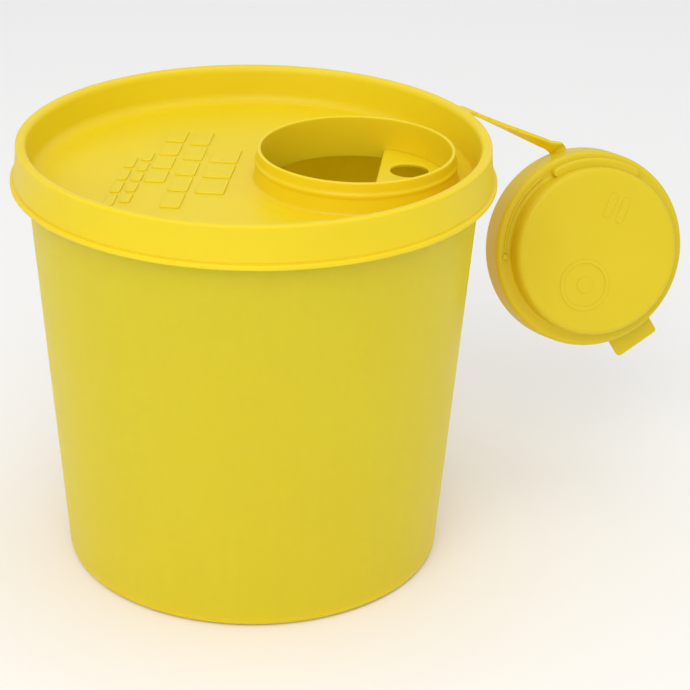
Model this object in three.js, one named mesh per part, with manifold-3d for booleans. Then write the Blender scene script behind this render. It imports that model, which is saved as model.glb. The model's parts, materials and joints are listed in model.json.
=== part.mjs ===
// Sharps container: a tapered bucket, a press-on lid with a round collar, and a cap on a strap.
// Millimetres, +Z up. The origin is the bucket's axis at its base; +X points at the collar's axis.
import * as THREE from "three";
import { mergeVertices } from "three/addons/utils/BufferGeometryUtils.js";
import Module from "manifold-3d";

const wasm = await Module();
wasm.setup();
const { Manifold, Mesh: SolidMesh } = wasm;

// Clearances
const CLEAR = 0.3; // between pieces that are cut apart or only rest on each other
const SKIRT_GAP = 0.3; // between the bucket's rim and the lid's skirt
const DECK_GAP = 0.5; // between the bucket's step and the underside of the deck
const FOOT_CLEAR = 0.55; // round the collar's foot, inside the closed cap

// Bucket
const BUCKET_FOOT_R = 59.557; // wall's outer radius carried down to the base plane
const BUCKET_DRAFT = 0.0759; // radius gained per mm of height
const BUCKET_WALL_H = 119.7; // height at which the wall steps out under the lid
const BUCKET_WALL = 1.2;
const BUCKET_FLOOR = 1.6;
const BUCKET_FOOT_ROUND = 1.4;
const BUCKET_INSIDE_ROUND = 1.2;
const RIM_STEP_H = 3;
const RIM_STEP_OUT = 1.18;
const RIM_WALL = 0.9;

// Lid
const WELL_DEPTH = 11.9; // from the top of the rim to the deck
const WELL_DRAFT = 0.1; // radius gained per mm by the well's wall and the bucket's rim behind it
const WELL_WALL = 0.9;
const DECK_THICK = 1.3;
const LID_TOP_ROUND = 1.5; // inner edge of the rim
const LID_RIM_ROUND = 0.8; // outer edge of the rim
const SKIRT_H = 12.6;
const SKIRT_WALL = 1;
const FLARE_OUT = 2; // how far the skirt's edge stands out from the rim
const FLARE_H = 11; // height up the skirt at which the flare has run out
const FLARE_BEND = [0.4, 0.4]; // the curve's corner, as shares of the way out and of the way up
const FLARE_BEAD_H = 1.5;
const FLARE_BEAD_OUT = 1;
const WELL_FOOT_ROUND = 0.8; // where the well's wall meets the deck
const EDGE = 0.3; // small chamfers on the lid's and the collar's edges

// Collar; its parts are measured from the deck and from its top edge
const COLLAR_TOP_R = 30;
const COLLAR_H = 10.3;
const COLLAR_WALL = 1.1;
const COLLAR_BEAD_OUT = 0.8;
const COLLAR_BEAD_H = 6.3;
const COLLAR_BEAD_FLAT = 0.6;
const COLLAR_BEAD_SLOPE = 0.75; // height of the ramp on each side of the bead
const COLLAR_FOOT_OUT = 1.1;
const COLLAR_THROAT_IN = 0.4; // how far the throat is inside the mouth
const COLLAR_LIP_H = 3; // how far the lip hangs below the deck
const COLLAR_LIP_WALL = 1;
const APRON_OUT = 3.9; // width of the low slope round the collar's foot
const APRON_H = 0.5;
const APRON_GAP = 1.6; // between the apron and the well's wall, which places the collar

// Bridge across the far side of the opening, and its hub hole
const BRIDGE_DEPTH = 22.2; // from the throat's wall to the free edge
const BRIDGE_RISE = 0.3;
const HUB_R = 5.9;
const HUB_LAND = 4.07; // between the hole and the throat's wall
const HUB_ANGLE = 32.66; // degrees round the collar from +X

// Raised bars on the deck: centre's distance from the apron, width, first y, last y, how many
const BAR_ROWS = [
  [7, 8.6, -19, 19.5, 3],
  [16.8, 6, -32, 34, 5],
  [24.9, 6, -12, 34, 4],
  [30.6, 3, -30, 13, 5],
  [35, 3, -33, 8, 4],
];
const BAR_GAP = 1.8;
const BAR_RISE = 0.5;
const BAR_CORNER = 0.9;

// Cap, in its own frame: z along its axis, skirt edge at 0, strap along +x
const CAP_WALL = 1.2;
const CAP_EDGE_WALL = 0.95;
const CAP_SHOULDER_IN = 0.4; // how far the shoulder is inside the skirt's edge
const CAP_STEP_IN = 4.6; // width of the flat shoulder
const CAP_CROWN_H = 7.4;
const CAP_ROUND = 1.1;
const LEDGE = { from: -46, to: 14.5, inset: 1.9, rise: 3.2 }; // inset is from the shoulder
const RIB = { from: 21, to: 76, inset: 2.3, width: 0.7, rise: 0.5 };
const NUB = { angle: 78.5, radius: 0.9, rise: 1 };
const TAB = { angle: 197.5, width: 16, out: 7.8, thick: 1.3 };
const RING = { angle: 142.5, at: 11.6, outer: 8.5, inner: 7.2, dot: 2.6 };
const MARK = { angle: -38, at: 15.6, length: 8.5, width: 2.6, gap: 4.6 };
const MARK_RISE = 0.35;

// Strap, a row of links from the lid's rim to the lug on the cap's edge
const STRAP_ANGLE = 31.6; // degrees round the rim from +X
const STRAP_ROOT_OUT = 3.57; // from the rim to the first pivot
const STRAP_WIDTH = 3.4;
const STRAP_THICK = 1.4;
const STRAP_LINKS = 3;
const LINK_GAP = 0.4; // from a pivot to the rounded end on each side of it
const ROOT_WIDTH = 9;
const LUG_WIDTH = 6;
const LUG_REACH = 3;

// Where the cap hangs at rest
const CAP_HANG = new THREE.Vector3(36.41, 19.69, -52.4); // first pivot to centre of the skirt's edge
const CAP_TURN = 20.5; // degrees the cap's axis is turned from -Y towards +X
const CAP_TILT = 14.7; // degrees the cap's axis points above level
const CAP_ROLL = 12; // degrees the strap's end is rolled off the top of the cap

const ROUND = 72; // sides of a full turn on the large round pieces
const RAD = Math.PI / 180;

// Heights that follow from the bucket's wall
const STEP_TOP_Z = BUCKET_WALL_H + RIM_STEP_H;
const UNDER_DECK_Z = STEP_TOP_Z + DECK_GAP;
const DECK_Z = UNDER_DECK_Z + DECK_THICK;
const LID_TOP_Z = DECK_Z + WELL_DEPTH;
const CHANNEL_TOP_Z = LID_TOP_Z - DECK_THICK; // roof of the channel that the bucket's rim stands in
const RIM_TOP_Z = CHANNEL_TOP_Z - CLEAR;
const SKIRT_BOTTOM_Z = LID_TOP_Z - SKIRT_H;
const COLLAR_TOP_Z = DECK_Z + COLLAR_H;
const COLLAR_LIP_Z = DECK_Z - COLLAR_LIP_H;

// Radii that follow from the bucket's mouth: its rim, the well inside it and the skirt outside it
const bucketR = (z) => BUCKET_FOOT_R + BUCKET_DRAFT * z;
const rimInR = (z) =>
  bucketR(BUCKET_WALL_H) - BUCKET_WALL + RIM_STEP_OUT + WELL_DRAFT * (z - STEP_TOP_Z);
const wellHiddenR = (z) => rimInR(z) - CLEAR;
const wellR = (z) => wellHiddenR(z) - WELL_WALL;
const RIM_OUT_R = rimInR(RIM_TOP_Z) + RIM_WALL + SKIRT_GAP + SKIRT_WALL;
const FLARE_R = RIM_OUT_R + FLARE_OUT;
const STRAP_ROOT_R = RIM_OUT_R + STRAP_ROOT_OUT;

// Radii and places that follow from the collar
const COLLAR_MOUTH_R = COLLAR_TOP_R - COLLAR_WALL;
const COLLAR_THROAT_R = COLLAR_MOUTH_R - COLLAR_THROAT_IN;
const COLLAR_BEAD_R = COLLAR_TOP_R + COLLAR_BEAD_OUT;
const COLLAR_FOOT_R = COLLAR_TOP_R + COLLAR_FOOT_OUT;
const APRON_R = COLLAR_FOOT_R + APRON_OUT;
const COLLAR_X = wellR(DECK_Z) - APRON_GAP - APRON_R;
const CAP_SKIRT_IN_R = COLLAR_FOOT_R + FOOT_CLEAR;
const CAP_SKIRT_H = COLLAR_H - APRON_H + CAP_WALL;
const CAP_EDGE_R = CAP_SKIRT_IN_R + CAP_EDGE_WALL;
const CAP_SHOULDER_R = CAP_EDGE_R - CAP_SHOULDER_IN;
const CAP_CROWN_R = CAP_SHOULDER_R - CAP_STEP_IN;

// A closed solid from a three.js geometry, with faces that shrank to a line left out.
function solid(geometry) {
  const bare = new THREE.BufferGeometry();
  bare.setAttribute("position", geometry.getAttribute("position"));
  if (geometry.index) bare.setIndex(geometry.index);
  const merged = mergeVertices(bare, 1e-4);
  const triVerts = [];
  for (let i = 0; i < merged.index.count; i += 3) {
    const [a, b, c] = [0, 1, 2].map((k) => merged.index.getX(i + k));
    if (a !== b && b !== c && c !== a) triVerts.push(a, b, c);
  }
  return new Manifold(
    new SolidMesh({
      numProp: 3,
      vertProperties: new Float32Array(merged.getAttribute("position").array),
      triVerts: new Uint32Array(triVerts),
    }),
  );
}

// A body of revolution about Z from [radius, height] pairs that start and end on the axis,
// or a ring from pairs that close on themselves. Pairs run up the outside.
function turned(profile, sides = ROUND) {
  const points = profile.map(([r, z]) => new THREE.Vector2(r, z));
  return solid(new THREE.LatheGeometry(points, sides).rotateX(Math.PI / 2));
}

const ring = (profile, sides) => turned([...profile, profile[0]], sides);

function drum(radius, low, high, sides = ROUND) {
  return turned([[0, low], [radius, low], [radius, high], [0, high]], sides);
}

// A quarter round from angle `from` to `to` in degrees, as [radius, height] pairs.
function arc(r, z, radius, from, to, steps = 4) {
  return Array.from({ length: steps + 1 }, (_, i) => {
    const a = (from + ((to - from) * i) / steps) * RAD;
    return [r + radius * Math.cos(a), z + radius * Math.sin(a)];
  });
}

// A flat plate of a 2-D outline standing on `low`, `height` tall.
function plate(outline, low, height, curveSegments = 6) {
  const options = { depth: height, bevelEnabled: false, curveSegments };
  return solid(new THREE.ExtrudeGeometry(outline, options).translate(0, 0, low));
}

const polar = (angle, at) => [at * Math.cos(angle * RAD), at * Math.sin(angle * RAD), 0];

// Part of a flat ring between two angles in degrees.
function sector({ from, to }, inner, outer) {
  const outline = new THREE.Shape();
  outline.absarc(0, 0, outer, from * RAD, to * RAD, false);
  outline.absarc(0, 0, inner, to * RAD, from * RAD, true);
  outline.closePath();
  return outline;
}

function roundedBar(width, length, corner) {
  const [x, y] = [width / 2 - corner, length / 2 - corner];
  const outline = new THREE.Shape();
  outline.absarc(x, y, corner, 0, 90 * RAD, false);
  outline.absarc(-x, y, corner, 90 * RAD, 180 * RAD, false);
  outline.absarc(-x, -y, corner, 180 * RAD, 270 * RAD, false);
  outline.absarc(x, -y, corner, 270 * RAD, 360 * RAD, false);
  outline.closePath();
  return outline;
}

function bucket() {
  const mouthR = bucketR(BUCKET_WALL_H);
  const middleZ = BUCKET_WALL_H / 2;
  const footR = bucketR(0) - BUCKET_FOOT_ROUND;
  const insideR = bucketR(0) - BUCKET_WALL - BUCKET_INSIDE_ROUND;
  const insideZ = BUCKET_FLOOR + BUCKET_INSIDE_ROUND;
  return turned([
    [0, 0],
    ...arc(footR, BUCKET_FOOT_ROUND, BUCKET_FOOT_ROUND, -90, -4),
    [bucketR(middleZ), middleZ],
    [mouthR, BUCKET_WALL_H],
    [rimInR(STEP_TOP_Z) + RIM_WALL, STEP_TOP_Z],
    [rimInR(RIM_TOP_Z) + RIM_WALL, RIM_TOP_Z],
    [rimInR(RIM_TOP_Z), RIM_TOP_Z],
    [rimInR(STEP_TOP_Z), STEP_TOP_Z],
    [mouthR - BUCKET_WALL, BUCKET_WALL_H],
    [bucketR(middleZ) - BUCKET_WALL, middleZ],
    ...arc(insideR, insideZ, BUCKET_INSIDE_ROUND, -4, -90, 3),
    [0, BUCKET_FLOOR],
  ]);
}

// The skirt's flare as [radius, height] pairs going up, `inset` inwards of its outer face.
function flare(inset) {
  const start = new THREE.Vector2(FLARE_R - FLARE_BEAD_OUT - inset, SKIRT_BOTTOM_Z + FLARE_BEAD_H);
  const end = new THREE.Vector2(RIM_OUT_R - inset, SKIRT_BOTTOM_Z + FLARE_H);
  const corner = new THREE.Vector2(
    end.x + (start.x - end.x) * FLARE_BEND[0],
    start.y + (end.y - start.y) * FLARE_BEND[1],
  );
  return new THREE.QuadraticBezierCurve(start, corner, end).getPoints(4).map((p) => [p.x, p.y]);
}

// The lid's round tray: deck, inner wall, rounded rim and flared skirt.
function lidTray() {
  const deckR = wellR(DECK_Z);
  const channel = [
    [wellHiddenR(UNDER_DECK_Z), UNDER_DECK_Z],
    [wellHiddenR(CHANNEL_TOP_Z), CHANNEL_TOP_Z],
    [RIM_OUT_R - SKIRT_WALL, CHANNEL_TOP_Z],
    ...flare(SKIRT_WALL).reverse(),
    [FLARE_R - FLARE_BEAD_OUT - SKIRT_WALL, SKIRT_BOTTOM_Z],
  ];
  const outside = [
    [FLARE_R - EDGE, SKIRT_BOTTOM_Z],
    [FLARE_R, SKIRT_BOTTOM_Z + EDGE],
    [FLARE_R, SKIRT_BOTTOM_Z + FLARE_BEAD_H - EDGE],
    ...flare(0),
    ...arc(RIM_OUT_R - LID_RIM_ROUND, LID_TOP_Z - LID_RIM_ROUND, LID_RIM_ROUND, 0, 90),
  ];
  const well = [
    ...arc(wellR(LID_TOP_Z) + LID_TOP_ROUND, LID_TOP_Z - LID_TOP_ROUND, LID_TOP_ROUND, 90, 180),
    [deckR, DECK_Z + WELL_FOOT_ROUND],
    [deckR - WELL_FOOT_ROUND, DECK_Z],
  ];
  return turned([[0, UNDER_DECK_Z], ...channel, ...outside, ...well, [0, DECK_Z]]);
}

// The round collar that the cap presses over, with a snap bead and a thin lip below the deck.
function collar() {
  const beadLow = DECK_Z + COLLAR_BEAD_H - COLLAR_BEAD_FLAT / 2;
  const beadHigh = beadLow + COLLAR_BEAD_FLAT;
  const profile = [
    [COLLAR_THROAT_R, COLLAR_LIP_Z],
    [COLLAR_THROAT_R + COLLAR_LIP_WALL, COLLAR_LIP_Z],
    [COLLAR_FOOT_R, UNDER_DECK_Z],
    [APRON_R, UNDER_DECK_Z],
    [APRON_R, DECK_Z],
    [COLLAR_FOOT_R, DECK_Z + APRON_H],
    [COLLAR_BEAD_R - EDGE, beadLow - COLLAR_BEAD_SLOPE],
    [COLLAR_BEAD_R, beadLow],
    [COLLAR_BEAD_R, beadHigh],
    [COLLAR_TOP_R + EDGE, beadHigh + COLLAR_BEAD_SLOPE],
    [COLLAR_TOP_R, COLLAR_TOP_Z - EDGE],
    [COLLAR_TOP_R - EDGE, COLLAR_TOP_Z],
    [COLLAR_MOUTH_R + EDGE, COLLAR_TOP_Z],
    [COLLAR_MOUTH_R, COLLAR_TOP_Z - EDGE],
  ];
  return ring(profile).translate([COLLAR_X, 0, 0]);
}

// A flat web from its straight free edge to the throat's wall.
function bridge() {
  const edge = COLLAR_X + COLLAR_THROAT_R - BRIDGE_DEPTH;
  const size = 2 * APRON_R;
  const block = solid(new THREE.BoxGeometry(size, size, DECK_THICK))
    .translate([edge + size / 2, 0, DECK_Z + BRIDGE_RISE - DECK_THICK / 2]);
  const throat = drum(COLLAR_THROAT_R + 0.6, COLLAR_LIP_Z, COLLAR_TOP_Z).translate([COLLAR_X, 0, 0]);
  return block.intersect(throat);
}

function deckBars() {
  return BAR_ROWS.flatMap(([away, width, first, last, count]) => {
    const x = COLLAR_X - APRON_R - away;
    const pitch = (last - first + BAR_GAP) / count;
    return Array.from({ length: count }, (_, i) =>
      plate(roundedBar(width, pitch - BAR_GAP, BAR_CORNER), DECK_Z - 0.3, 0.3 + BAR_RISE, 3)
        .translate([x, first + pitch * i + (pitch - BAR_GAP) / 2, 0]),
    );
  });
}

// A short length of strap along +x from the origin, centred on z, round-ended both ways.
function strapBar(length) {
  const side = plate(
    roundedBar(length, STRAP_THICK, STRAP_THICK / 2 - 0.01), -STRAP_WIDTH / 2, STRAP_WIDTH, 4,
  ).rotate([90, 0, 0]);
  const face = plate(
    roundedBar(length, STRAP_WIDTH, STRAP_WIDTH / 2 - 0.01), -STRAP_THICK, 2 * STRAP_THICK, 5,
  );
  return side.intersect(face).translate([length / 2, 0, 0]);
}

// A flat web that narrows from `wide` at x = near to the strap's width, and ends in its nose.
function web(near, far, wide) {
  const end = far - STRAP_WIDTH / 2;
  const outline = new THREE.Shape([
    new THREE.Vector2(near, -wide / 2),
    new THREE.Vector2(end, -STRAP_WIDTH / 2),
    new THREE.Vector2(end, STRAP_WIDTH / 2),
    new THREE.Vector2(near, wide / 2),
  ]);
  const nose = strapBar(STRAP_WIDTH).translate([far - STRAP_WIDTH, 0, 0]);
  return plate(outline, -STRAP_THICK / 2, STRAP_THICK).add(nose);
}

// The flat root that carries the strap off the rim, widest where it joins the rim.
function strapRoot() {
  return web(RIM_OUT_R - LID_TOP_ROUND - 0.1, STRAP_ROOT_R - LINK_GAP, ROOT_WIDTH)
    .rotate([0, 0, STRAP_ANGLE])
    .translate([0, 0, LID_TOP_Z - STRAP_THICK / 2]);
}

function lid() {
  const throat = drum(COLLAR_THROAT_R + 0.3, COLLAR_LIP_Z - 1, DECK_Z + 1)
    .translate([COLLAR_X, 0, 0]);
  const hub = drum(HUB_R, COLLAR_LIP_Z - 1, COLLAR_TOP_Z, 32)
    .translate(polar(HUB_ANGLE, COLLAR_THROAT_R - HUB_LAND - HUB_R))
    .translate([COLLAR_X, 0, 0]);
  const whole = Manifold.union([
    lidTray().subtract(throat), collar(), bridge(), strapRoot(), ...deckBars(),
  ]);
  return whole.subtract(hub);
}

function capShell() {
  const top = CAP_SKIRT_H + CAP_CROWN_H;
  const crownIn = CAP_CROWN_R - CAP_WALL;
  return turned([
    [0, top - CAP_WALL],
    [crownIn - 0.8, top - CAP_WALL],
    [crownIn, top - CAP_WALL - 0.8],
    [crownIn, CAP_SKIRT_H - CAP_WALL],
    [CAP_SHOULDER_R - CAP_WALL, CAP_SKIRT_H - CAP_WALL],
    [CAP_SKIRT_IN_R, 0],
    [CAP_EDGE_R, 0],
    ...arc(CAP_SHOULDER_R - CAP_ROUND, CAP_SKIRT_H - CAP_ROUND, CAP_ROUND, 0, 90),
    [CAP_CROWN_R + 0.5, CAP_SKIRT_H],
    [CAP_CROWN_R + 0.1, CAP_SKIRT_H + 0.4],
    ...arc(CAP_CROWN_R - CAP_ROUND, top - CAP_ROUND, CAP_ROUND, 0, 90),
    [0, top],
  ]);
}

function capTab() {
  const reach = CAP_EDGE_R + TAB.out;
  const length = reach - CAP_SHOULDER_R + 2;
  const outline = roundedBar(length, TAB.width, 1);
  return plate(outline, 0, TAB.thick)
    .translate([reach - length / 2, 0, 0])
    .subtract(drum(CAP_SKIRT_IN_R + 0.4, -1, TAB.thick + 1))
    .rotate([0, 0, TAB.angle]);
}

// Plain relief on the crown: a ring round a dot, and a pair of bars.
function capRelief() {
  const base = CAP_SKIRT_H + CAP_CROWN_H - 0.4;
  const hoop = drum(RING.outer, base, base + 0.4 + MARK_RISE, 40)
    .subtract(drum(RING.inner, base - 1, base + 2, 40));
  const dot = drum(RING.dot, base, base + 0.4 + MARK_RISE, 24);
  const bars = [-1, 1].map((side) =>
    plate(roundedBar(MARK.length, MARK.width, 0.8), base, 0.4 + MARK_RISE, 3)
      .translate([0, (side * MARK.gap) / 2, 0])
      .rotate([0, 0, MARK.angle])
      .translate(polar(MARK.angle, MARK.at)),
  );
  return [hoop, dot].map((s) => s.translate(polar(RING.angle, RING.at))).concat(bars);
}

function cap() {
  const foot = CAP_SKIRT_H - 0.5;
  const ledgeR = CAP_SHOULDER_R - LEDGE.inset;
  const ribR = CAP_SHOULDER_R - RIB.inset;
  const ledge = plate(sector(LEDGE, CAP_CROWN_R - 0.6, ledgeR), foot, 0.5 + LEDGE.rise, 20);
  const rib = plate(sector(RIB, ribR - RIB.width, ribR), foot, 0.5 + RIB.rise, 16);
  const nub = drum(NUB.radius, foot, foot + 0.5 + NUB.rise, 12)
    .translate(polar(NUB.angle, ribR - RIB.width / 2));
  return Manifold.union([capShell(), capTab(), ledge, rib, nub, ...capRelief()]);
}

// The strap's first pivot, in the middle of its thickness.
function strapStart() {
  return new THREE.Vector3(...polar(STRAP_ANGLE, STRAP_ROOT_R)).setZ(LID_TOP_Z - STRAP_THICK / 2);
}

// The cap's own frame at rest, as a matrix: x towards the strap, z along the cap's axis.
function capFrame() {
  const axis = new THREE.Vector3(
    Math.sin(CAP_TURN * RAD) * Math.cos(CAP_TILT * RAD),
    -Math.cos(CAP_TURN * RAD) * Math.cos(CAP_TILT * RAD),
    Math.sin(CAP_TILT * RAD),
  );
  const up = new THREE.Vector3(0, 0, 1).addScaledVector(axis, -axis.z).normalize();
  const strapward = up.clone().applyAxisAngle(axis, CAP_ROLL * RAD);
  const across = new THREE.Vector3().crossVectors(axis, strapward);
  const place = strapStart().add(CAP_HANG);
  return new THREE.Matrix4().makeBasis(strapward, across, axis).setPosition(place);
}

// The small lug on the skirt's edge that the strap runs into; the cap slides past it.
function capLug() {
  const inner = CAP_EDGE_R + CLEAR;
  return web(inner - 0.5, inner + LUG_REACH, LUG_WIDTH)
    .subtract(drum(inner, -STRAP_THICK, STRAP_THICK))
    .translate([0, 0, STRAP_THICK / 2]);
}

// Pivots of the strap's links, evenly spaced on the straight line from the rim to the lug.
function strapPivots() {
  const rim = strapStart();
  const edge = new THREE.Vector3(CAP_EDGE_R + CLEAR + LUG_REACH + LINK_GAP, 0, STRAP_THICK / 2);
  const end = edge.applyMatrix4(capFrame());
  return Array.from({ length: STRAP_LINKS + 1 }, (_, i) => rim.clone().lerp(end, i / STRAP_LINKS));
}

// The frames of the links at rest: x along the strap, y across it, turning evenly from level
// at the rim to the plane of the cap's edge.
function strapFrames() {
  const pivots = strapPivots();
  const along = pivots[STRAP_LINKS].clone().sub(pivots[0]).normalize();
  const level = new THREE.Vector3(0, 0, 1).cross(along).normalize();
  const capAcross = new THREE.Vector3().setFromMatrixColumn(capFrame(), 1);
  const last = capAcross.addScaledVector(along, -capAcross.dot(along)).normalize();
  if (last.dot(level) < 0) last.negate();
  const twist = Math.atan2(new THREE.Vector3().crossVectors(level, last).dot(along), last.dot(level));
  return pivots.slice(0, -1).map((pivot, i) => {
    const across = level.clone().applyAxisAngle(along, (twist * (i + 0.5)) / STRAP_LINKS);
    const up = new THREE.Vector3().crossVectors(along, across);
    return new THREE.Matrix4().makeBasis(along, across, up).setPosition(pivot);
  });
}

function strapLink() {
  const pivots = strapPivots();
  return strapBar(pivots[0].distanceTo(pivots[1]) - 2 * LINK_GAP).translate([LINK_GAP, 0, 0]);
}

const yellow = (hex, roughness) => new THREE.MeshStandardMaterial({ color: hex, roughness });
const BUCKET_PLASTIC = yellow(0xe2c832, 0.45);
const LID_PLASTIC = yellow(0xecd12d, 0.42);
const CAP_PLASTIC = yellow(0xe8cf36, 0.42);

const group = new THREE.Group();

function add(name, body, material, matrix = new THREE.Matrix4()) {
  const { vertProperties, triVerts } = body.getMesh();
  const geometry = new THREE.BufferGeometry();
  geometry.setAttribute("position", new THREE.BufferAttribute(vertProperties, 3));
  geometry.setIndex(new THREE.BufferAttribute(triVerts, 1));
  geometry.applyMatrix4(matrix);
  geometry.computeVertexNormals();
  const mesh = new THREE.Mesh(geometry, material);
  mesh.name = name;
  group.add(mesh);
}

add("bucket", bucket(), BUCKET_PLASTIC);
add("lid", lid(), LID_PLASTIC);
strapFrames().forEach((frame, i) => add("strap_link_" + (i + 1), strapLink(), LID_PLASTIC, frame));
add("cap_lug", capLug(), CAP_PLASTIC, capFrame());
add("cap", cap(), CAP_PLASTIC, capFrame());

export default group;
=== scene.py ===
"""A yellow sharps container: bucket, press-on lid with a round collar, and a cap on a strap."""
import json
import math

import bpy
import numpy as np
from mathutils import Matrix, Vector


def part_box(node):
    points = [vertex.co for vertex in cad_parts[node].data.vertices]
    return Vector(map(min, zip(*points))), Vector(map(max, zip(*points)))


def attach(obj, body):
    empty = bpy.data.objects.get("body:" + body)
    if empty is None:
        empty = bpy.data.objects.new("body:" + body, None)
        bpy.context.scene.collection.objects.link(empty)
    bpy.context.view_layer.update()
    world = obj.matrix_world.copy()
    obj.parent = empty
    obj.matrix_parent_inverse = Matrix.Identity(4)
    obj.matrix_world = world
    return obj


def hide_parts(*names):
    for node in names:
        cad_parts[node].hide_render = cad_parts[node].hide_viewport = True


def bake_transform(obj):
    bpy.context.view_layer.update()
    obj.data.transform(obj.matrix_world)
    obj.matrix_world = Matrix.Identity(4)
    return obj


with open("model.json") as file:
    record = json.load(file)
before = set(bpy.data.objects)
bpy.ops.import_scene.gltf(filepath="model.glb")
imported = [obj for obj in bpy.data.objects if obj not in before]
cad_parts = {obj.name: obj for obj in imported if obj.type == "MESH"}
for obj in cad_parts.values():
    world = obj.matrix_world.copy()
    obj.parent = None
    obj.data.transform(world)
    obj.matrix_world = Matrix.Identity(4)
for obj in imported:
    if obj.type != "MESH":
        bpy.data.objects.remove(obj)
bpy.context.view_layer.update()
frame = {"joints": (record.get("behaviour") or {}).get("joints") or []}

# ---------------------------------------------------------------- bucket
# One thin tapered moulding in yellow polypropylene, with a flat base, a rounded foot, and a wall
# that steps out just under the lid to make the rim that the lid presses on to.

MM = 0.001
BUCKET_FOOT_R, BUCKET_DRAFT, BUCKET_WALL, BUCKET_FLOOR = 59.557, 0.0759, 1.2, 1.6
FOOT_ROUND, RIM_STEP_H, RIM_STEP_OUT, RIM_WALL = 2.0, 3.0, 1.18, 0.9
FIT_GAP, DECK_GAP = 0.3, 0.5
WELL_DEPTH, WELL_WALL, WELL_DRAFT, DECK_THICK = 11.9, 0.9, 0.1, 1.3
CORNER_STEPS, SHARP_DEGREES = 5, 40

lid_top_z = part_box("lid")[1][2] / MM
rim_top_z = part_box("bucket")[1][2] / MM
deck_z = lid_top_z - WELL_DEPTH
under_deck_z = deck_z - DECK_THICK
step_top_z = under_deck_z - DECK_GAP
step_z = step_top_z - RIM_STEP_H
mouth_r = BUCKET_FOOT_R + BUCKET_DRAFT * step_z
rim_step_r = mouth_r - BUCKET_WALL + RIM_STEP_OUT


def rim_in_r(z):
    """Inner radius of the bucket's rim, which leans out with the well wall of the lid inside it."""
    return rim_step_r + WELL_DRAFT * (z - step_top_z)


def softened(corners, radii, closed=False, pitch=6.0):
    """A line through `corners` with each corner rounded: a quadratic curve that starts and ends
    `radius` away from the corner on its two edges. Every straight run gets a point close to each
    end and others `pitch` apart, so that smooth shading stays flat on it."""
    corners = np.asarray(corners, float)
    back, ahead = np.roll(corners, 1, 0) - corners, np.roll(corners, -1, 0) - corners
    reach = np.asarray(radii, float)[:, None]
    reach_back = np.minimum(reach, 0.45 * np.linalg.norm(back, axis=1, keepdims=True))
    reach_ahead = np.minimum(reach, 0.45 * np.linalg.norm(ahead, axis=1, keepdims=True))
    enter = corners + back / (np.linalg.norm(back, axis=1, keepdims=True) + 1e-9) * reach_back
    leave = corners + ahead / (np.linalg.norm(ahead, axis=1, keepdims=True) + 1e-9) * reach_ahead
    share = np.linspace(0, 1, CORNER_STEPS + 1)[:, None]
    rows = []
    for k, radius in enumerate(radii):
        turn = (1 - share) ** 2 * enter[k] + 2 * share * (1 - share) * corners[k] + share**2 * leave[k]
        rows.append(turn if radius else corners[k][None])
        if not closed and k == len(corners) - 1:
            break
        gap = enter[(k + 1) % len(corners)] - leave[k]
        run = float(np.linalg.norm(gap))
        if run > 0.3:
            near = min(0.25, 0.3 / run)
            middle = np.linspace(near, 1 - near, max(2, int(run / pitch) + 2))[:, None]
            rows.append(leave[k] + middle * gap)
    return np.concatenate(rows)


def skin(name, grids, ring=False):
    """One mesh over grids of points in millimetres, each (rows, columns, 3). The last column meets
    the first. In a ring the last row meets the first too; otherwise the end rows are closed flat.
    A face points along the way the columns run crossed with the way the rows run. An edge that
    turns by more than SHARP_DEGREES is shaded sharp."""
    points, faces, start = [], [], 0
    for grid in grids:
        rows, cols = grid.shape[:2]
        row = np.arange(rows if ring else rows - 1)[:, None]
        col = np.arange(cols)[None, :]
        below, above, beside = row * cols, (row + 1) % rows * cols, (col + 1) % cols
        quads = np.stack([below + col, below + beside, above + beside, above + col], -1)
        faces += (quads.reshape(-1, 4) + start).tolist()
        if not ring:
            first = np.arange(cols) + start
            faces += [first[::-1].tolist(), (first + (rows - 1) * cols).tolist()]
        points.append(grid.reshape(-1, 3))
        start += rows * cols
    mesh = bpy.data.meshes.new(name)
    mesh.from_pydata((np.concatenate(points) * MM).tolist(), [], faces)
    mesh.polygons.foreach_set("use_smooth", np.ones(len(faces), bool))
    mesh.set_sharp_from_angle(angle=math.radians(SHARP_DEGREES))
    piece = bpy.data.objects.new(name, mesh)
    bpy.context.scene.collection.objects.link(piece)
    return piece


def turned(profile, around=288):
    """A body of revolution: each [radius, height] of the profile carried round the Z axis."""
    angle = np.linspace(0, 2 * np.pi, around, endpoint=False)
    radius, height = profile[:, 0][:, None], profile[:, 1][:, None]
    return np.stack([radius * np.cos(angle), radius * np.sin(angle), height + 0 * angle], -1)


class Wire:
    """A shader socket. Arithmetic on it adds Math nodes, and `node` adds any other node."""

    def __init__(self, tree, socket=None):
        self.tree, self.socket = tree, socket

    def node(self, kind, settings=(), values=(), out=0):
        """Adds a node, sets its settings, then fills its sockets with values or wires."""
        made = self.tree.nodes.new(kind)
        for key, value in dict(settings).items():
            if key == "stops":
                for stop, (place, grey) in zip(made.color_ramp.elements, value):
                    stop.position, stop.color = place, (grey, grey, grey, 1)
            else:
                setattr(made, key, value)
        for key, value in dict(values).items():
            if isinstance(value, Wire):
                self.tree.links.new(value.socket, made.inputs[key])
            else:
                made.inputs[key].default_value = value
        return Wire(self.tree, made.outputs[out])

    def maths(self, operation, first, second):
        return self.node("ShaderNodeMath", {"operation": operation}, {0: first, 1: second})

    def __add__(self, other):
        return self.maths("ADD", self, other)

    def __mul__(self, other):
        return self.maths("MULTIPLY", self, other)

    __radd__, __rmul__ = __add__, __mul__


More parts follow.
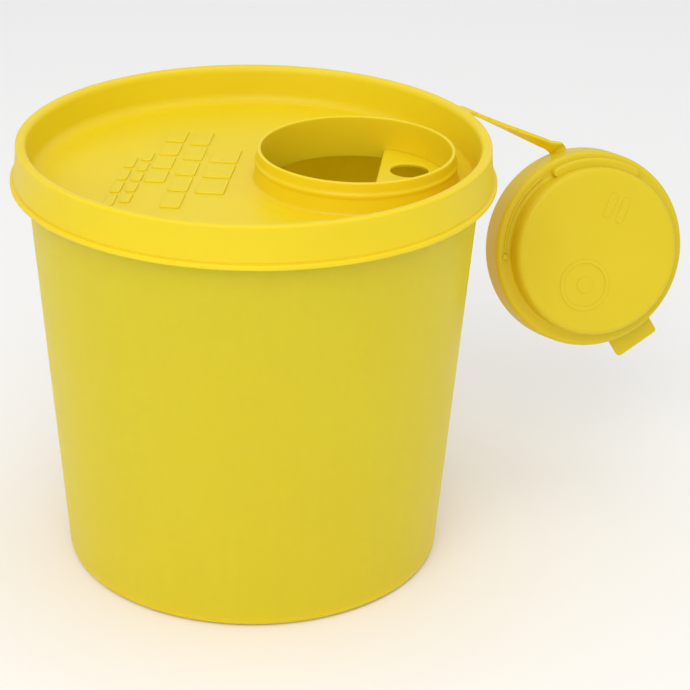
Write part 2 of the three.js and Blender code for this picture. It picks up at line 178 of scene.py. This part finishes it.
PLASTIC_IOR, PLASTIC_SPECULAR, GLOW_TINT = 1.49, 0.32, (1.0, 0.8, 0.08)
CLOUDS, STREAKS, BLOTCHES, FLECKS, WAVES = 22.0, 420.0, 60.0, 1600.0, 16.0
BLOTCH_ROUGH, FLECK_ROUGH = 0.1, 0.06
GRAIN_DEPTH, WAVE_DEPTH, STREAK_DEPTH, BUMP_STRENGTH = 0.012, 0.25, 0.02, 0.35


def moulded(name, base, deep, gloss, grain, glow, draw=0.0):
    """Moulded polypropylene. The colour drifts between `base` and `deep` in slow clouds, with thin
    streaks along Z by `draw`. The roughness wanders round `gloss`, and a fine spark-eroded grain of
    `grain` millimetres and a slow waviness of the wall tilt the surface. `glow` is how much of the
    light scatters in the wall, and how far in millimetres."""
    material = bpy.data.materials.new(name)
    material.use_nodes = True
    tree = material.node_tree
    shader = tree.nodes["Principled BSDF"]
    shader.inputs["IOR"].default_value = PLASTIC_IOR
    shader.inputs["Specular IOR Level"].default_value = PLASTIC_SPECULAR
    shader.inputs["Subsurface Weight"].default_value = glow[0]
    shader.inputs["Subsurface Radius"].default_value = GLOW_TINT
    shader.inputs["Subsurface Scale"].default_value = glow[1] * MM
    start = Wire(tree)
    place = start.node("ShaderNodeTexCoord", out="Object")
    drawn = start.node("ShaderNodeMapping", {}, {"Vector": place, "Scale": (1, 1, 0.03)})

    def noise(scale, detail=2.0, where=place):
        return start.node(
            "ShaderNodeTexNoise", {}, {"Vector": where, "Scale": scale, "Detail": detail}, "Fac"
        )

    streaks = noise(STREAKS, 3.0, drawn)
    amount = start.node(
        "ShaderNodeValToRGB",
        {"stops": ((0.32, 0.0), (0.7, 1.0))},
        {"Fac": noise(CLOUDS) * (1 - draw) + streaks * draw},
    )
    colour = start.node(
        "ShaderNodeMix", {"data_type": "RGBA"}, {0: amount, 6: (*base, 1), 7: (*deep, 1)}, 2
    )
    tree.links.new(colour.socket, shader.inputs["Base Color"])
    even_rough = gloss - (BLOTCH_ROUGH + FLECK_ROUGH) / 2
    rough = noise(BLOTCHES, 4.0) * BLOTCH_ROUGH + noise(FLECKS) * FLECK_ROUGH + even_rough
    tree.links.new(rough.socket, shader.inputs["Roughness"])
    fine_grain, waviness = noise(1 / (grain * MM)), noise(WAVES)
    height = fine_grain * GRAIN_DEPTH + waviness * WAVE_DEPTH + streaks * (STREAK_DEPTH * draw)
    bump = start.node(
        "ShaderNodeBump", {}, {"Height": height, "Distance": MM, "Strength": BUMP_STRENGTH}
    )
    tree.links.new(bump.socket, shader.inputs["Normal"])
    return material


def finish_piece(piece, body, material, nodes=()):
    """Gives a finished piece its material and its body, if it has one, and hides the CAD nodes it
    stands for.
    """
    piece.data.materials.append(material)
    if body:
        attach(piece, body)
    if nodes:
        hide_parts(*nodes)


bucket_profile = softened(
    [
        (1.0, 0.0),
        (BUCKET_FOOT_R, 0.0),
        (mouth_r, step_z),
        (rim_in_r(step_top_z) + RIM_WALL, step_top_z),
        (rim_in_r(rim_top_z) + RIM_WALL, rim_top_z),
        (rim_in_r(rim_top_z), rim_top_z),
        (rim_in_r(step_top_z), step_top_z),
        (mouth_r - BUCKET_WALL, step_z),
        (BUCKET_FOOT_R - BUCKET_WALL, BUCKET_FLOOR),
        (1.0, BUCKET_FLOOR),
    ],
    (0, FOOT_ROUND, 1.5, 1.5, 0.4, 0.4, 1.5, 1.5, FOOT_ROUND, 0),
)
BUCKET_YELLOW, BUCKET_DEEP = (0.885, 0.59, 0.012), (0.865, 0.568, 0.01)
bucket_plastic = moulded("bucket_plastic", BUCKET_YELLOW, BUCKET_DEEP, 0.46, 0.45, (1, 6), 0.35)
bucket = skin("bucket_shell", [turned(bucket_profile)])
finish_piece(bucket, "bucket", bucket_plastic, ["bucket"])

# ---------------------------------------------------------------- lid
# One moulding: a flared skirt with a bead, a rounded rim, a well wall down to the flat deck, and an
# off-centre collar with a snap bead. It is one skin, carried round rings whose centre moves from the
# collar's axis to the bucket's axis across the deck.

SKIRT_H, SKIRT_WALL, SKIRT_GAP, FLARE_H = 12.6, 1.0, 0.3, 11.0
BEAD_H, BEAD_OUT = 1.5, 1.0
COLLAR_TOP_R, COLLAR_WALL, COLLAR_H, COLLAR_LIP = 30.0, 1.1, 10.3, 3.0
COLLAR_FOOT_R, APRON_R, APRON_GAP, THROAT_R = 31.1, 35.0, 1.6, 28.5
SNAP_OUT, SNAP_H, SNAP_FLAT, SNAP_RAMP = 0.8, 6.3, 0.6, 0.75
LID_AROUND = 320

flare_r = -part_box("lid")[0][0] / MM
rim_out_r = rim_in_r(rim_top_z) + RIM_WALL + SKIRT_GAP + SKIRT_WALL
skirt_z = lid_top_z - SKIRT_H
channel_z = lid_top_z - DECK_THICK
deck_r = rim_in_r(deck_z) - FIT_GAP - WELL_WALL
well_top_r = rim_in_r(lid_top_z) - FIT_GAP - WELL_WALL
collar_x = deck_r - APRON_GAP - APRON_R
collar_top_z = deck_z + COLLAR_H


def flare_path(inset, low):
    """The skirt's flare going up from `low`: a quadratic curve from the bead in to the rim."""
    share = np.linspace(0, 1, 9)[:, None]
    foot = np.array([flare_r - BEAD_OUT - inset, low])
    top = np.array([rim_out_r - inset, skirt_z + FLARE_H])
    corner = top + (foot - top) * (0.4, 0.6)
    return (1 - share) ** 2 * foot + 2 * share * (1 - share) * corner + share**2 * top


def stations(pairs, centre, rounding):
    """Corners of the lid's profile, each with its ring's centre, 0 the collar and 1 the bucket."""
    pairs = np.asarray(pairs, float).reshape(-1, 2)
    return np.column_stack([pairs, np.full(len(pairs), centre), np.broadcast_to(rounding, len(pairs))])


snap_low, snap_high = deck_z + SNAP_H - SNAP_FLAT / 2, deck_z + SNAP_H + SNAP_FLAT / 2
lid_corners = np.concatenate([
    stations([(THROAT_R, deck_z - COLLAR_LIP), (THROAT_R + 1, deck_z - COLLAR_LIP)], 0, 0.3),
    stations([(COLLAR_FOOT_R, under_deck_z), (APRON_R, under_deck_z)], 0, (0.4, 0.01)),
    stations([(rim_in_r(under_deck_z) - FIT_GAP, under_deck_z)], 1, 0.4),
    stations([(rim_in_r(channel_z) - FIT_GAP, channel_z), (rim_out_r - SKIRT_WALL, channel_z)], 1, 0.3),
    stations(flare_path(SKIRT_WALL, skirt_z + BEAD_H)[::-1], 1, 0),
    stations([(flare_r - BEAD_OUT - SKIRT_WALL, skirt_z), (flare_r, skirt_z)], 1, (0.3, 0.5)),
    stations([(flare_r, skirt_z + BEAD_H)], 1, 0.6),
    stations([(flare_r - BEAD_OUT - 0.1, skirt_z + BEAD_H + 0.2)], 1, 0.3),
    stations(flare_path(0, skirt_z + BEAD_H + 0.6), 1, 0),
    stations([(rim_out_r, lid_top_z), (well_top_r, lid_top_z)], 1, (1.0, 1.9)),
    stations([(deck_r, deck_z)], 1, 3.0),
    stations([(APRON_R + 0.3, deck_z), (COLLAR_FOOT_R, deck_z + 0.5)], 0, (0.6, 0.9)),
    stations([(COLLAR_TOP_R + 0.5, snap_low - SNAP_RAMP)], 0, 0.4),
    stations([(COLLAR_TOP_R + SNAP_OUT, snap_low), (COLLAR_TOP_R + SNAP_OUT, snap_high)], 0, 0.25),
    stations([(COLLAR_TOP_R + 0.3, snap_high + SNAP_RAMP)], 0, 0.4),
    stations([(COLLAR_TOP_R, collar_top_z), (COLLAR_TOP_R - COLLAR_WALL, collar_top_z)], 0, 0.5),
])
lid_rows = softened(lid_corners[:, :3], lid_corners[:, 3], closed=True)
lid_angle = np.linspace(0, 2 * np.pi, LID_AROUND, endpoint=False)
lid_radius, lid_height, lid_share = (lid_rows[:, k][:, None] for k in range(3))
lid_grid = np.stack(
    [
        collar_x * (1 - lid_share) + lid_radius * np.cos(lid_angle),
        lid_radius * np.sin(lid_angle),
        lid_height + 0 * lid_angle,
    ],
    -1,
)
lid = skin("lid_shell", [lid_grid], ring=True)
lid_plastic = moulded("lid_plastic", (0.82, 0.62, 0.008), (0.795, 0.59, 0.006), 0.42, 0.4, (0.35, 2.5))
finish_piece(lid, "lid", lid_plastic, ["lid"])

# ---------------------------------------------------------------- bridge
# A flat web moulded across the far side of the opening, straight on its free edge, with a round
# hole that pulls the hub off a needle. Its grid runs round the hole and out to the web's boundary.

BRIDGE_DEPTH, BRIDGE_RISE, HUB_R, HUB_LAND, HUB_ANGLE = 22.2, 0.3, 5.9, 4.07, math.radians(32.66)
EDGE, BURIED, BRIDGE_AROUND = 0.35, 0.25, 360
WEB_SHARES = (0.04, 0.2, 0.4, 0.6, 0.8, 0.97)

bridge_x, bridge_top_z = collar_x + THROAT_R - BRIDGE_DEPTH, deck_z + BRIDGE_RISE
hub_off = (THROAT_R - HUB_LAND - HUB_R) * np.array([math.cos(HUB_ANGLE), math.sin(HUB_ANGLE)])
hub = hub_off + (collar_x, 0)
wall_r = THROAT_R + BURIED
corner_y = math.sqrt(wall_r**2 - (bridge_x - collar_x) ** 2)
corner_angles = [math.atan2(side * corner_y - hub[1], bridge_x - hub[0]) for side in (1, -1)]
even_angles = np.linspace(-np.pi, np.pi, BRIDGE_AROUND, endpoint=False)
bridge_angle = np.sort(np.r_[even_angles, corner_angles])
out_x, out_y = np.cos(bridge_angle), np.sin(bridge_angle)
along = hub_off[0] * out_x + hub_off[1] * out_y
to_wall = -along + np.sqrt(along**2 - hub_off @ hub_off + wall_r**2)
to_edge = np.where(out_x < -1e-6, (bridge_x - hub[0]) / np.minimum(out_x, -1e-6), 1e3)
bridge_reach = np.minimum(to_wall, to_edge)
turn = np.linspace(0, np.pi / 2, 5)
lip = np.stack([0 * turn, EDGE * (1 - np.cos(turn)), EDGE * (1 - np.sin(turn))], 1)
upper = np.concatenate([
    lip, [(web_share, EDGE, 0) for web_share in WEB_SHARES], lip[::-1] + (1, 0, 0)
])
lower = upper[::-1] * (1, 1, -1)
share, inset, sunk = (rows[:, None] for rows in np.concatenate([upper, lower]).T)
low_side = np.r_[np.zeros(len(upper)), np.ones(len(lower))][:, None]
bridge_radius = HUB_R + inset + share * (bridge_reach - HUB_R - 2 * inset)
bridge_grid = np.stack(
    [
        hub[0] + bridge_radius * out_x,
        hub[1] + bridge_radius * out_y,
        bridge_top_z - sunk - low_side * DECK_THICK + 0 * bridge_angle,
    ],
    -1,
)
bridge = skin("hub_bridge", [bridge_grid], ring=True)
finish_piece(bridge, "lid", lid_plastic)

# ---------------------------------------------------------------- raised bars
# Rows of plain low bars moulded on the deck beside the collar, each with rounded corners and a
# rounded top edge.

BAR_ROWS = (
    (7, 8.6, -19, 19.5, 3),
    (16.8, 6, -32, 34, 5),
    (24.9, 6, -12, 34, 4),
    (30.6, 3, -30, 13, 5),
    (35, 3, -33, 8, 4),
)
BAR_GAP, BAR_RISE, BAR_CORNER = 1.8, 0.5, 0.9


def outline(length, width, corner):
    """A rectangle about the origin, its corners rounded, as points going round anticlockwise."""
    x, y = length / 2, width / 2
    corners = [(-x, -y), (x, -y), (x, y), (-x, y)]
    return softened(corners, (corner,) * 4, closed=True, pitch=3.0)


def pad(shape, low, high, edge):
    """A low solid over an outline from `low` up to `high`. Its top edge is a quarter round of
    radius `edge`: each row of points moves in along the outline's own normal as it rises."""
    tangent = np.roll(shape, -1, 0) - np.roll(shape, 1, 0)
    inward = np.stack([-tangent[:, 1], tangent[:, 0]], 1) / np.linalg.norm(tangent, axis=1)[:, None]
    turn = np.linspace(0, np.pi / 2, 5)
    step_in = np.r_[0, edge * (1 - np.cos(turn)), edge * 1.3]
    height = np.r_[low, high - edge * (1 - np.sin(turn)), high]
    spots = shape[None] + step_in[:, None, None] * inward[None]
    return np.concatenate([spots, np.broadcast_to(height[:, None, None], spots.shape[:2] + (1,))], 2)


bars = []
for away, width, first, last, count in BAR_ROWS:
    pitch = (last - first + BAR_GAP) / count
    shape = outline(width, pitch - BAR_GAP, BAR_CORNER)
    for k in range(count):
        middle = (collar_x - APRON_R - away, first + pitch * (k + 0.5) - BAR_GAP / 2)
        bars.append(pad(shape + middle, deck_z - 0.4, deck_z + BAR_RISE, 0.22))
deck_bars = skin("deck_bars", bars)
finish_piece(deck_bars, "lid", lid_plastic)

# ---------------------------------------------------------------- cap
# One hollow moulding: a skirt that snaps over the collar, a flat shoulder, and a raised crown. It
# hangs from the strap with its outside towards the front, so it is worked out about its own axis
# and then carried to that place by the frame that its joints give.

CAP_SKIRT_H, CAP_CROWN_H, CAP_WALL = 11.0, 7.4, 1.2
CAP_EDGE_R, CAP_SKIRT_IN_R, CAP_SHOULDER_R, CAP_CROWN_R = 32.6, 31.65, 32.2, 27.6
CAP_ROLL, LUG_AT, STRAP_THICK = math.radians(12), 36.3, 1.4
joints = {joint["name"]: joint for joint in frame["joints"]}

cap_axis = -np.array(joints["cap_press"]["axis"], float)
cap_axis /= np.linalg.norm(cap_axis)
level_up = np.array([0, 0, 1]) - cap_axis * cap_axis[2]
level_up /= np.linalg.norm(level_up)
strapward = math.cos(CAP_ROLL) * level_up + math.sin(CAP_ROLL) * np.cross(cap_axis, level_up)
cap_turning = np.stack([strapward, np.cross(cap_axis, strapward), cap_axis])
lug_pivot = np.array(joints["cap_turn"]["pos_m"], float) / MM
cap_at = lug_pivot - np.array([LUG_AT, 0, STRAP_THICK / 2]) @ cap_turning


def on_cap(points):
    """Points given about the cap's own axis, carried to where the cap hangs."""
    return points @ cap_turning + cap_at


crown_top = CAP_SKIRT_H + CAP_CROWN_H
crown_in_r = CAP_CROWN_R - CAP_WALL
cap_profile = softened(
    [
        (0.5, crown_top - CAP_WALL),
        (crown_in_r, crown_top - CAP_WALL),
        (crown_in_r, CAP_SKIRT_H - CAP_WALL),
        (CAP_SHOULDER_R - CAP_WALL, CAP_SKIRT_H - CAP_WALL),
        (CAP_SKIRT_IN_R, 0),
        (CAP_EDGE_R, 0),
        (CAP_SHOULDER_R + 0.05, CAP_SKIRT_H),
        (CAP_CROWN_R + 0.15, CAP_SKIRT_H),
        (CAP_CROWN_R - 0.15, crown_top),
        (0.5, crown_top),
    ],
    (0, 1.0, 0.5, 0.5, 0.3, 0.35, 1.7, 1.1, 1.9, 0),
    pitch=4.0,
)
cap_plastic = moulded("cap_plastic", (0.715, 0.555, 0.012), (0.69, 0.53, 0.01), 0.42, 0.4, (0.1, 1.0))
cap = skin("cap_shell", [on_cap(turned(cap_profile))])
finish_piece(cap, "cap", cap_plastic, ["cap"])

# ---------------------------------------------------------------- cap relief
# What stands proud of the cap: a pull tab at the skirt's edge, a ledge, a thin rib and a nub on the
# shoulder, and plain relief on the crown, which is a ring round a dot and a pair of short bars.

LEDGE = {"start": -46, "end": 14.5, "inner": CAP_CROWN_R - 0.7, "outer": 30.3, "rise": 3.2}
RIB = {"start": 21, "end": 76, "inner": 29.2, "outer": 29.9, "rise": 0.5}
NUB_ANGLE, NUB_R, NUB_RISE = 78.5, 0.9, 1.0
TAB_ANGLE, TAB_WIDTH, TAB_REACH, TAB_THICK = 197.5, 16.0, 40.4, 1.3
RING_ANGLE, RING_AT, RING_OUT_R, RING_IN_R, DOT_R = 142.5, 11.6, 8.5, 7.2, 2.6
MARK_ANGLE, MARK_AT, MARK_LENGTH, MARK_WIDTH, MARK_GAP = -38, 15.6, 8.5, 2.6, 4.6
MARK_RISE, SUNK = 0.25, 0.5


def wheeled(grid, degrees, at):
    """A grid moved `at` along X, then turned about Z."""
    angle = math.radians(degrees)
    turning = np.array(Matrix.Rotation(angle, 3, "Z"))
    return (grid + (at, 0, 0)) @ turning.T


def arched(start, end, inner, outer, rise, edge):
    """A low rib round the cap's axis: a section with rounded top edges, carried from one angle to
    the other. At each end its width follows a quarter circle, so that the end is round."""
    corners = [(inner, rise), (outer, rise), (outer, -SUNK), (inner, -SUNK)]
    section = softened(corners, (edge, edge, 0, 0), closed=True, pitch=1.5)
    middle, half = (inner + outer) / 2, (outer - inner) / 2
    run = math.radians(end - start) * middle
    turn = np.linspace(0.15, np.pi / 2, 7)
    between = np.linspace(half, run - half, max(3, int(run / 1.2)))[1:-1]
    place = np.r_[half * (1 - np.cos(turn)), between, run - half * (1 - np.cos(turn[::-1]))]
    width = np.r_[np.sin(turn), np.ones(len(between)), np.sin(turn[::-1])][:, None]
    angle = (math.radians(start) + place / middle)[:, None]
    radius = middle + (section[:, 0] - middle) * width
    return np.stack([radius * np.cos(angle), radius * np.sin(angle), section[:, 1] + 0 * angle], -1)


def button(radius, rise):
    """A round stud with a rounded top edge."""
    corners = [(0.2, -SUNK), (radius, -SUNK), (radius, rise), (0.2, rise)]
    return turned(softened(corners, (0, 0, min(0.25, rise / 2), 0)), 48)


def hoop(outer, inner, rise):
    """A flat ring with rounded top edges, as a closed profile carried round its axis."""
    corners = [(inner, -SUNK), (outer, -SUNK), (outer, rise), (inner, rise)]
    return turned(softened(corners, (0, 0, 0.15, 0.15), closed=True), 96)


shoulder, crown = np.array([0, 0, CAP_SKIRT_H]), np.array([0, 0, crown_top])
ledge = arched(**LEDGE, edge=0.9)
rib = arched(**RIB, edge=0.25)
nub = wheeled(button(NUB_R, NUB_RISE), NUB_ANGLE, (RIB["inner"] + RIB["outer"]) / 2)
raised = skin("cap_ledge_and_rib", [on_cap(grid + shoulder) for grid in (ledge, rib, nub)])
finish_piece(raised, "cap", cap_plastic)

dot = wheeled(button(DOT_R, MARK_RISE), RING_ANGLE, RING_AT)
mark = pad(outline(MARK_LENGTH, MARK_WIDTH, 0.8), -SUNK, MARK_RISE, 0.15)
marks = [wheeled(mark + (0, side * MARK_GAP / 2, 0), MARK_ANGLE, MARK_AT) for side in (-1, 1)]
crown_marks = skin("cap_crown_marks", [on_cap(grid + crown) for grid in (dot, *marks)])
finish_piece(crown_marks, "cap", cap_plastic)
ring_grid = wheeled(hoop(RING_OUT_R, RING_IN_R, MARK_RISE), RING_ANGLE, RING_AT)
crown_ring = skin("cap_crown_ring", [on_cap(ring_grid + crown)], ring=True)
finish_piece(crown_ring, "cap", cap_plastic)

tab_length = TAB_REACH - CAP_SKIRT_IN_R - 0.3
tab_shape = outline(tab_length, TAB_WIDTH, 1.3)
tab_grid = wheeled(pad(tab_shape, 0, TAB_THICK, 0.3), TAB_ANGLE, TAB_REACH - tab_length / 2)
tab = skin("cap_pull_tab", [on_cap(tab_grid)])
finish_piece(tab, "cap", cap_plastic)

# ---------------------------------------------------------------- strap
# A flexible ribbon moulded in one with the lid and the cap. It spreads where it leaves the rim, then
# runs straight and twists a little to meet the cap's edge. It is cut into five lengths, at points
# midway between the joints that stand in for its bending and just past the last of them.

STRAP_WIDTH, ROOT_WIDTH, LUG_WIDTH, SECTION_ROUND = 3.4, 6.5, 6.0, 0.35
ROOT_INSIDE, ROOT_BEND, ROOT_SUNK, ROOT_BLEND = 1.6, 0.9, 0.1, 0.2
ROOT_RUN, NARROW_RUN, LUG_RUN, LUG_CUT = 1.2, 1.0, 3.0, 1.2
LUG_BEND, LUG_END = (33.4, 0, 0.7), (31.9, 0, 0.8)
pivots = [np.array(joints[name]["pos_m"], float) / MM
          for name in ("strap_fold", "strap_bend_1", "strap_bend_2", "cap_turn")]


def unit(vectors):
    return vectors / np.linalg.norm(vectors, axis=-1, keepdims=True)


root_out = unit(pivots[0] * (1, 1, 0))
root_side = np.cross([0, 0, 1], root_out)
cap_across = cap_turning[1]
rim_edge = root_out * rim_out_r + (0, 0, lid_top_z - STRAP_THICK / 2 - ROOT_SUNK)
strap_line = softened(
    [
        rim_edge - root_out * ROOT_INSIDE,
        rim_edge + root_out * ROOT_BEND,
        on_cap(np.array(LUG_BEND)),
        on_cap(np.array(LUG_END)),
    ],
    (0, 1.2, 0.8, 0),
    pitch=0.6,
)
strap_run = np.r_[0, np.cumsum(np.linalg.norm(np.diff(strap_line, axis=0), axis=1))]
tangent = unit(np.gradient(strap_line, strap_run, axis=0))
end_run = strap_run[-1]


def run_near(point):
    """How far along the strap its nearest point to `point` lies."""
    return strap_run[int(np.argmin(np.linalg.norm(strap_line - point, axis=1)))]


fold_run, turn_run = run_near(pivots[0]), run_near(pivots[3])
turned_over = np.interp(strap_run, (fold_run, turn_run), (0, 1))[:, None]
same_way = math.copysign(1, cap_across @ root_side)
across = root_side * (1 - turned_over) + same_way * cap_across * turned_over
across = unit(across - tangent * np.sum(across * tangent, 1, keepdims=True))
strap_up = np.cross(tangent, across)
half_wide = 0.5 * np.interp(
    strap_run,
    (0, ROOT_RUN, fold_run + NARROW_RUN, turn_run - LUG_RUN, end_run),
    (ROOT_WIDTH, ROOT_WIDTH, STRAP_WIDTH, STRAP_WIDTH, LUG_WIDTH),
)
square = [(-1, -1), (1, -1), (1, 1), (-1, 1)]
section = softened(square, (SECTION_ROUND,) * 4, closed=True, pitch=1.0)
strap_grid = (
    strap_line[:, None]
    + (half_wide[:, None] * section[:, 0])[..., None] * across[:, None]
    + (STRAP_THICK / 2 * section[:, 1])[None, :, None] * strap_up[:, None]
)
middles = [run_near((pivots[k] + pivots[k + 1]) / 2) for k in range(3)]
cut_runs = (0, *middles, turn_run + LUG_CUT, end_run)
cuts = [int(np.argmin(np.abs(strap_run - run))) for run in cut_runs]
for k, (first, last) in enumerate(zip(cuts[:-1], cuts[1:])):
    length = skin(f"strap_length_{k + 1}", [strap_grid[first : last + 1]])
    begin = strap_line[first] if k else rim_edge + root_out * ROOT_BLEND
    tuple(begin * MM)
    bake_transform(length)
    nodes = [f"strap_link_{k}"] if 0 < k < 4 else ["cap_lug"] if k == 4 else []
    finish_piece(length, None, cap_plastic if k == 4 else lid_plastic, nodes)

# ---------------------------------------------------------------- studio
# A wide pale floor, an even white surround and two large soft lights, with the camera above the
# front of the bucket, looking a little to the right of it.

FLOOR_HALF, FLOOR_DROP, FLOOR_GREY, SURROUND = 10000.0, 0.2, 0.9, 0.77
CAMERA_LENS, CAMERA_AT = 113.853, (0.08771, -0.61956, 0.36031)
CAMERA_PAN, CAMERA_DOWN, CAMERA_ROLL = 5.422, 25.094, 1.335

floor_mesh = bpy.data.meshes.new("studio_floor")
floor_corners = [(x * FLOOR_HALF * MM, y * FLOOR_HALF * MM, -FLOOR_DROP * MM) for x, y in square]
floor_mesh.from_pydata(floor_corners, [], [(0, 1, 2, 3)])
floor = bpy.data.objects.new("studio_floor", floor_mesh)
bpy.context.scene.collection.objects.link(floor)
floor_paint = bpy.data.materials.new("floor_paint")
floor_paint.use_nodes = True
floor_shader = floor_paint.node_tree.nodes["Principled BSDF"]
floor_shader.inputs["Base Color"].default_value = (FLOOR_GREY, FLOOR_GREY, FLOOR_GREY, 1)
floor_shader.inputs["Roughness"].default_value = 0.9
floor_mesh.materials.append(floor_paint)

world = bpy.data.worlds.new("studio_surround")
world.use_nodes = True
world.node_tree.nodes["Background"].inputs["Color"].default_value = (1, 1, 1, 1)
world.node_tree.nodes["Background"].inputs["Strength"].default_value = SURROUND
bpy.context.scene.world = world


def soft_light(name, place, aim, size, power):
    """A square area light at `place`, turned to face `aim`, both in millimetres."""
    lamp = bpy.data.lights.new(name, "AREA")
    lamp.size, lamp.energy = size * MM, power
    light = bpy.data.objects.new(name, lamp)
    towards = unit(np.array(aim, float) - place)
    side = unit(np.cross(towards, (0, 0, 1)))
    turning = Matrix(np.stack([side, np.cross(side, towards), -towards], 1).tolist())
    light.matrix_world = Matrix.Translation(np.array(place) * MM) @ turning.to_4x4()
    bpy.context.scene.collection.objects.link(light)


soft_light("key_light", np.array([-80, -950, 850]), (30, 0, 90), 900, 6.0)
soft_light("top_light", np.array([100, 100, 1100]), (40, 0, 90), 800, 1.5)

camera_data = bpy.data.cameras.new("camera")
camera_data.lens, camera_data.sensor_width = CAMERA_LENS, 36
camera = bpy.data.objects.new("camera", camera_data)
facing = (
    Matrix.Rotation(math.radians(CAMERA_PAN), 4, "Z")
    @ Matrix.Rotation(math.radians(90 - CAMERA_DOWN), 4, "X")
    @ Matrix.Rotation(math.radians(CAMERA_ROLL), 4, "Z")
)
camera.matrix_world = Matrix.Translation(CAMERA_AT) @ facing
bpy.context.scene.collection.objects.link(camera)
bpy.context.scene.camera = camera
bpy.context.scene.view_settings.view_transform = "Standard"
